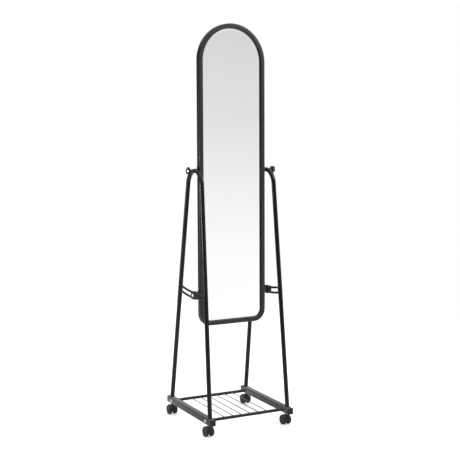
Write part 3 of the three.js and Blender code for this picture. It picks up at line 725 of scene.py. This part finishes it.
def sweep_outline(part, start, arch_steps=72, corner_steps=14):
    """Draws start, a set of vertices and edges at the bottom middle, once round the mirror's outline."""
    def draw(items, vec):
        if only(EDGE, items):
            new = bmesh.ops.extrude_edge_only(part, edges=only(EDGE, items))["geom"]
        else:
            new = bmesh.ops.extrude_vert_indiv(part, verts=only(VERT, items))["verts"]
        vertices = only(VERT, new)
        bmesh.ops.translate(part, verts=vertices, vec=vec)
        kept = set(vertices)
        return vertices + [edge for edge in only(EDGE, new) if set(edge.verts) <= kept]

    def bend(items, centre, angle, steps):
        return bmesh.ops.spin(part, geom=items, cent=centre, axis=(0, -1, 0), angle=angle,
                              steps=steps)["geom_last"]

    across, quarter = FRAME_HALF - CORNER, math.pi / 2
    low_z = CORNER - FRAME_DOWN
    items = draw(start, (across, 0, 0))
    items = bend(items, (across, 0, low_z), quarter, corner_steps)
    items = draw(items, (0, 0, SPRING_Z - low_z))
    items = bend(items, (0, 0, SPRING_Z), 2 * quarter, arch_steps)
    items = draw(items, (0, 0, low_z - SPRING_Z))
    items = bend(items, (-across, 0, low_z), quarter, corner_steps)
    draw(items, (across, 0, 0))
    bmesh.ops.remove_doubles(part, verts=part.verts, dist=1e-5)


# %% Make the frame
piece = bmesh.new()
SECTION = (  # depth inside the outline, and place from front to back
    (0, FRONT), (FACE, FRONT), (FACE, FRONT + LIP), (FACE - WALL, FRONT + LIP), (FACE - WALL, FRONT + WALL),
    (WALL, FRONT + WALL), (WALL, BACK), (0, BACK),
)
corners = [piece.verts.new((0, y, inset - FRAME_DOWN)) for inset, y in SECTION]
loop = [piece.edges.new((corners[i - 1], corners[i])) for i in range(len(corners))]
sweep_outline(piece, corners + loop)
face_out(piece)
face_edges = [edge for edge in piece.edges if len(edge.link_faces) == 2
              and all(abs(vertex.co.y - FRONT) < 1e-6 for vertex in edge.verts)
              and edge.calc_face_angle(0) > math.radians(60)]
bmesh.ops.bevel(piece, geom=face_edges, offset=0.003, offset_type="OFFSET", affect="EDGES", segments=5,
                profile=0.5, material=-1)
softened(piece, 0.0003, segments=1, sharper_than=70)


# %% Tongues that hold the board in
def tongue(length, width=0.012, thick=0.0011):
    """A thin tab of the frame's own steel, bent in over the board. It lies along +Z from the outer wall."""
    return rounded_bar(width, thick, thick * 0.49, length, edge=0.0003, steps=3)


GAP = 0.0003
GLASS_FRONT, GLASS_THICK, BOARD_THICK = FRONT + LIP + GAP, 0.004, 0.003
BOARD_FRONT = GLASS_FRONT + GLASS_THICK + GAP
TONGUE_Y = BOARD_FRONT + BOARD_THICK + 2 * GAP
TONGUES = [(x, -FRAME_DOWN + 0.001, 0) for x in (-0.07, 0.07)]
TONGUES += [(sign * (FRAME_HALF - 0.001), z, -sign * math.pi / 2) for sign in (-1, 1)
            for z in (-0.44, -0.10, 0.24)]
for turn in map(math.radians, (-50, 0, 50)):
    TONGUES.append((-(FRAME_HALF - 0.001) * math.sin(turn),
                    SPRING_Z + (FRAME_HALF - 0.001) * math.cos(turn), math.pi - turn))
for x, z, turn in TONGUES:
    put(piece, tongue(0.024), Matrix.Translation((x, TONGUE_Y, z)) @ Matrix.Rotation(turn, 4, "Y"))
bmesh.ops.transform(piece, matrix=in_mirror, verts=piece.verts)
finish_piece(piece, "frame_channel", "mirror", [frame_powder_painted_light], ["mirror_frame"],
             reflected=True)


# %% Plates that follow the frame's outline
def outline_sheet(inset, y):
    """A flat sheet that fills the mirror's outline, moved in by an inset, facing the front."""
    part = bmesh.new()
    start = [part.verts.new((0, y, inset - FRAME_DOWN))]
    sweep_outline(part, start)
    bmesh.ops.contextual_create(part, geom=part.edges[:])
    for face in part.faces:
        if face.normal.y > 0:
            face.normal_flip()
    return part


LIP_OVERLAP = 0.0042  # how far the frame's lip covers the edge of the glass
GLASS_INSET = FACE - LIP_OVERLAP
BEVEL_WIDTH, BEVEL_DROP = 0.012, 0.0010
print(f"glass set {GLASS_INSET * 1000:.1f} mm inside the frame's outline")

# %% Mirror glass with its ground edge
piece = outline_sheet(GLASS_INSET, GLASS_FRONT + BEVEL_DROP)
draw_out(piece, piece.faces[:], (0, GLASS_THICK - BEVEL_DROP, 0))
front_face = [face for face in piece.faces if face.normal.y < -0.9]
bmesh.ops.inset_region(piece, faces=front_face, thickness=BEVEL_WIDTH, depth=0, use_even_offset=True)
bmesh.ops.translate(piece, verts=list({vertex for face in front_face for vertex in face.verts}),
                    vec=(0, -BEVEL_DROP, 0))
piece.normal_update()
for face in piece.faces:
    face.material_index = 0 if face.normal.y < -0.5 else 2 if face.normal.y > 0.5 else 1
bmesh.ops.transform(piece, matrix=in_mirror, verts=piece.verts)
finish_piece(piece, "glass_sheet", "mirror", [silver, rim_glass, backing_paint],
             ["mirror_glass"], smooth_below=2)

# %% Backing board
piece = outline_sheet(GLASS_INSET, BOARD_FRONT)
draw_out(piece, piece.faces[:], (0, BOARD_THICK, 0))
softened(piece, 0.0004, segments=2)
bmesh.ops.transform(piece, matrix=in_mirror, verts=piece.verts)
finish_piece(piece, "board", "mirror", [hardboard], ["backing_board"])

# %% [markdown]
# ## Plates, screws and slider blocks
# On each side of the frame are two small plates with round ends. The upper one carries the boss that the
# knob's stud screws into. The lower one carries the boss for the slider block, a moulded piece with a
# flange on each face of the slotted guide and a rib between them that runs in the slot.

# %% Plates and their screws
PLATE_SEAT, PLATE_THICK, PLATE_HEIGHT, PLATE_WIDTH = 0.1522, 0.0026, 0.064, 0.013
SCREW_UP = 0.0245
for side, sign in SIDES:
    for kind, z, boss, reach in (("pivot", 0, 0.0080, 0.1557), ("guide", -GUIDE_R, 0.0065, 0.1630)):
        seat = in_mirror @ Matrix.Translation((sign * PLATE_SEAT, 0, z)) @ to_x(sign)
        piece = bmesh.new()
        put(piece, rounded_bar(PLATE_HEIGHT, PLATE_WIDTH, PLATE_WIDTH / 2, PLATE_THICK, edge=0.0006, steps=8),
            seat)
        rise, ease = reach - PLATE_SEAT, 0.0006
        put(piece, turned([(0, 0.001), (boss, 0.001), (boss, rise - ease), (boss - ease, rise), (0, rise)]),
            seat)
        finish_piece(piece, f"{side}_{kind}_bracket", "mirror", [powder],
                     [f"{side}_{kind}_plate"])
        for level, up in (("upper", 1), ("lower", -1)):
            at = Matrix.Translation((sign * (PLATE_SEAT + PLATE_THICK), 0, z + up * SCREW_UP))
            piece = bmesh.new()
            driven = Matrix.Rotation(0.5 + up * 0.4 + sign, 4, "Z")  # no two recesses stop alike
            put(piece, pan_screw(head=0.0036, height=0.0022, shank=0.0018, length=0.008),
                in_mirror @ at @ to_x(sign) @ driven)
            finish_piece(piece, f"{side}_{kind}_{level}_pan_screw", "mirror", [zinc],
                         [f"{side}_{kind}_{level}_screw"])


# %% Slider blocks and their bolts
def slot_rib(length, height, x_from, x_to):
    """A short stretch of the slot's own curve, in the mirror's frame for the right side."""
    part = bmesh.new()
    half = length / 2 / GUIDE_R
    points = [part.verts.new((x_from, radius * math.sin(-half), -radius * math.cos(half)))
              for radius in (GUIDE_R - height / 2, GUIDE_R + height / 2)]
    line = [part.edges.new(points)]
    bmesh.ops.spin(part, geom=points + line, cent=(0, 0, 0), axis=(1, 0, 0), angle=2 * half, steps=8)
    draw_out(part, part.faces[:], (x_to - x_from, 0, 0))
    return softened(part, 0.0006, segments=2)


BLOCK_INNER, BLOCK_OUTER, BLOCK_HEIGHT, BLOCK_LENGTH = 0.1633, 0.1800, 0.032, 0.036
RIB_LENGTH, SLACK = 0.024, 0.0004
GUIDE_FACE_IN, GUIDE_FACE_OUT = (GUIDE_X + way * (GUIDE_THICK / 2 + SLACK) for way in (-1, 1))
for side, sign in SIDES:
    piece = bmesh.new()
    facing = in_mirror @ Matrix.Rotation(0 if sign > 0 else math.pi, 4, "Z")
    for start, stop in ((BLOCK_INNER, GUIDE_FACE_IN), (GUIDE_FACE_OUT, BLOCK_OUTER)):
        put(piece, rounded_bar(BLOCK_HEIGHT, BLOCK_LENGTH, 0.005, stop - start, edge=0.001),
            facing @ Matrix.Translation((start, 0, -GUIDE_R)) @ to_x(1))
    rib = slot_rib(RIB_LENGTH, 2 * (SLOT_HALF - SLACK), GUIDE_FACE_IN - 0.001, GUIDE_FACE_OUT + 0.001)
    put(piece, rib, facing)
    finish_piece(piece, f"{side}_slider", "mirror", [plastic], [f"{side}_slider_block"])
    piece = bmesh.new()
    put(piece, domed_bolt(head=0.006, height=0.0040, shank=0.003, length=0.030, socket=0.0025),
        in_mirror @ Matrix.Translation((sign * BLOCK_OUTER, 0, -GUIDE_R)) @ to_x(sign))
    finish_piece(piece, f"{side}_slider_bolt", "mirror", [zinc], [f"{side}_guide_bolt"])

# %% [markdown]
# ## Hand knobs
# Each knob is a five-lobed moulding on a short neck, pressed on the head of a stud that reaches through
# the crown of the hoop into the frame. The lobes are a circle whose points are pushed in and out, drawn
# out to the knob's thickness. Its outer face is drawn inward in three steps, which gives the shallow dish
# of a moulded knob, and a small plated cap closes the middle.

# %% Knob shape
KNOB_OUTER, KNOB_THICK, KNOB_R, LOBE, LOBES = 0.2015, 0.011, 0.0138, 0.0015, 5
NECK_START = CROWN_X + TUBE + GAP


def lobed_head():
    part = bmesh.new()
    ring = bmesh.ops.create_circle(part, radius=KNOB_R, segments=LOBES * 18)["verts"]
    for vertex in ring:
        turn = math.atan2(vertex.co.y, vertex.co.x)
        vertex.co *= 1 + LOBE / KNOB_R * math.cos(LOBES * turn)
    draw_out(part, bmesh.ops.contextual_create(part, geom=part.edges[:])["faces"], (0, 0, KNOB_THICK))
    softened(part, 0.0022, segments=5)
    for reach, sink in ((0.93, 0), (0.87, -0.0009), (0.42, -0.0002)):
        outer = [face for face in part.faces if face.normal.z > 0.9 and len(face.verts) > 8]
        rim = only(VERT, bmesh.ops.extrude_face_region(part, geom=outer)["geom"])
        bmesh.ops.delete(part, geom=[face for face in outer if face.is_valid], context="FACES_ONLY")
        shrink = reach * KNOB_R / max(vertex.co.to_2d().length for vertex in rim)
        bmesh.ops.scale(part, verts=rim, vec=(shrink, shrink, 1))
        bmesh.ops.translate(part, verts=rim, vec=(0, 0, sink))
        part.normal_update()
    face_out(part)
    return part


# %% Both knobs
KNOB_BACK = KNOB_OUTER - KNOB_THICK
NECK = [(0, NECK_START), (0.0062, NECK_START), (0.0065, NECK_START + 0.0005), (0.0065, KNOB_BACK - 0.003),
        (0.0072, KNOB_BACK - 0.001), (0.0085, KNOB_BACK + 0.001), (0, KNOB_BACK + 0.001)]
PLATED_CAP = [(radius, KNOB_OUTER - sunk) for radius, sunk in (
    (0, 0.0018), (0.0088, 0.0018), (0.0088, 0.0010), (0.0080, 0.0006), (0.0055, 0.0002), (0.0025, 0), (0, 0))]
STUD = [(0, 0.144), (0.0034, 0.144), (0.004, 0.1446), (0.004, KNOB_BACK), (0, KNOB_BACK)]
for side, sign in SIDES:
    hub = Matrix.Translation((0, 0, pivot_z)) @ to_x(sign)
    piece = bmesh.new()
    put(piece, lobed_head(), hub @ Matrix.Translation((0, 0, KNOB_BACK)))
    put(piece, turned(NECK), hub)
    put(piece, turned(PLATED_CAP), hub, material=1)
    put(piece, turned(STUD), hub, material=1)
    finish_piece(piece, f"{side}_hand_knob", f"{side}_knob", [plastic, zinc],
                 [f"{side}_knob"])

# %% [markdown]
# ## Casters
# These are small twin-wheel casters: a plated stem pressed up into the rail, a moulded hood that swivels
# on it, and a wheel on each side of the hood's middle wall. The wheels trail behind the stem. The hood is
# a drum with rounded edges: a stem boss is added, and the wheel spaces and everything below the axle are
# carved out of it. The wheels are turned, with a dished outer face and a hub cap.

# %% Caster shapes
CASTER_Y, TRAIL, WHEEL_R, WHEEL_X = 0.170, 0.009, 0.020, 0.0125
HOOD_R, HOOD_HALF, HOOD_TOP, HOOD_CUT = 0.0218, 0.016, 0.046, 0.016
HOOD_WALL = 0.0066  # half the middle wall between the wheels
WHEEL_WIDTH = 0.011
PIN_HALF = [(0, 0.0168), (0.0023, 0.0168), (0.0025, 0.0166)]
AXLE_PIN = [(radius, -x) for radius, x in PIN_HALF] + PIN_HALF[::-1]
AXLE = Matrix.Translation((0, TRAIL, WHEEL_R))


def hood_shape():
    edge = [(HOOD_R - 0.0032, HOOD_HALF), (HOOD_R - 0.0018, HOOD_HALF - 0.0003),
            (HOOD_R - 0.0006, HOOD_HALF - 0.0012), (HOOD_R - 0.0001, HOOD_HALF - 0.0026),
            (HOOD_R, HOOD_HALF - 0.004)]
    profile = [(0, -HOOD_HALF)] + [(r, -z) for r, z in edge] + edge[::-1] + [(0, HOOD_HALF)]
    drum = bmesh.new()
    put(drum, turned(profile, steps=64), AXLE @ to_x(1))
    put(drum, turned([(0, 0.022), (0.0095, 0.022), (0.0095, HOOD_TOP - 0.0012), (0.0091, HOOD_TOP - 0.0004),
                      (0.0083, HOOD_TOP), (0, HOOD_TOP)]))
    spaces = bmesh.new()
    space = [(0, HOOD_WALL), (WHEEL_R + 0.0006, HOOD_WALL), (WHEEL_R + 0.0006, 0.022), (0, 0.022)]
    for way in (-1, 1):
        put(spaces, turned(space, steps=64), AXLE @ to_x(way))
    put(spaces, rounded_bar(0.1, 0.1, 0.01, 0.030), Matrix.Translation((0, 0, HOOD_CUT - 0.030)))
    put(spaces, turned([(0, 0.033), (0.0044, 0.033), (0.0044, 0.050), (0, 0.050)]))
    return carved(drum, spaces)


def wheel_shape():
    half = WHEEL_WIDTH / 2
    hub_cap = [(0, 0.0002), (0.0035, 0.0003), (0.0058, 0.0008), (0.0068, 0.0018)]
    dish = [(0.0070, 0.0024), (0.0150, 0.0020), (0.0158, 0.0014), (0.0162, 0.0004), (0.0168, 0)]
    shoulder = [(0.0182, 0), (0.0192, 0.0004), (0.0198, 0.0012), (WHEEL_R, 0.0022)]
    profile = [(radius, half - sunk) for radius, sunk in hub_cap + dish + shoulder]
    profile += [(radius, sunk - half) for radius, sunk in shoulder[::-1]]
    profile += [(0.0029, -half), (0.0029, half - 0.0008), (0, half - 0.0008)]
    return turned(profile, steps=56)


def stem_shape():
    low, high = HOOD_TOP + GAP, rail_top - RAIL - GAP
    return turned([(0, 0.034), (0.0036, 0.034), (0.004, 0.0344), (0.004, low), (0.0076, low),
                   (0.008, low + 0.0004), (0.008, low + 0.0016), (0.0066, low + 0.0022),
                   (0.0066, high - 0.0022), (0.008, high - 0.0016), (0.008, high - 0.0003), (0.0077, high),
                   (0.0047, high), (0.0047, high + 0.012), (0.0037, high + 0.013), (0, high + 0.013)])


# %% Four casters
for side, sign in SIDES:
    for end, way in ENDS:
        name = f"{side}_{end}_caster"
        under = Matrix.Translation((sign * FOOT_X, way * CASTER_Y, 0))
        piece = bmesh.new()
        put(piece, stem_shape(), under)
        finish_piece(piece, f"{name}_pin", "stand", [zinc], [f"{name}_stem"])
        piece = bmesh.new()
        put(piece, hood_shape(), under)
        put(piece, turned(AXLE_PIN, steps=20), under @ AXLE @ to_x(1), material=1)
        finish_piece(piece, f"{name}_shell", name, [plastic, zinc], [f"{name}_hood"])
        for wheel, out in SIDES:
            piece = bmesh.new()
            put(piece, wheel_shape(), under @ AXLE @ Matrix.Translation((out * WHEEL_X, 0, 0)) @ to_x(out))
            finish_piece(piece, f"{name}_{wheel}_roller", f"{name}_{wheel}_wheel",
                         [wheel_plastic], [f"{name}_{wheel}_wheel"])

# %% [markdown]
# ## Floor
# The floor is a plain white disc. It ends a few metres out, so that the glass can look past it. A faint
# glow that only the camera sees lets its edge melt into the surround.

# %% Studio floor
FLOOR_RADIUS, FLOOR_GLOW = 2.6, 0.42
disc = bmesh.new()
bmesh.ops.create_circle(disc, cap_ends=True, radius=FLOOR_RADIUS, segments=96)
floor_mesh = bpy.data.meshes.new("studio_floor")
disc.to_mesh(floor_mesh)
disc.free()
white = bpy.data.materials.new("white studio floor")
white.use_nodes = True
tree = white.node_tree
tree.nodes.clear()
paint = add_node(tree, "ShaderNodeBsdfDiffuse", {"Color": (0.93, 0.93, 0.93, 1)})
seen = add_node(tree, "ShaderNodeLightPath").outputs["Is Camera Ray"]
lift = add_node(tree, "ShaderNodeMath", {0: seen, 1: FLOOR_GLOW}, operation="MULTIPLY")
glow = add_node(tree, "ShaderNodeEmission", {"Strength": lift.outputs["Value"]})
both = add_node(tree, "ShaderNodeAddShader", {0: paint.outputs["BSDF"], 1: glow.outputs["Emission"]})
add_node(tree, "ShaderNodeOutputMaterial", {"Surface": both.outputs["Shader"]})
floor_mesh.materials.append(white)
floor = bpy.data.objects.new("studio_floor", floor_mesh)
bpy.context.scene.collection.objects.link(floor)
floor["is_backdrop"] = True
print("floor, metres across:", 2 * FLOOR_RADIUS)

# %% Print the size of the model and of what was made
bpy.context.view_layer.update()
made_box = [list(corner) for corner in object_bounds()]
for label, box in (("model", cad_box), ("visual", made_box)):
    print(f"{label} size, mm:", [round((box[1][i] - box[0][i]) * 1000, 1) for i in range(3)])
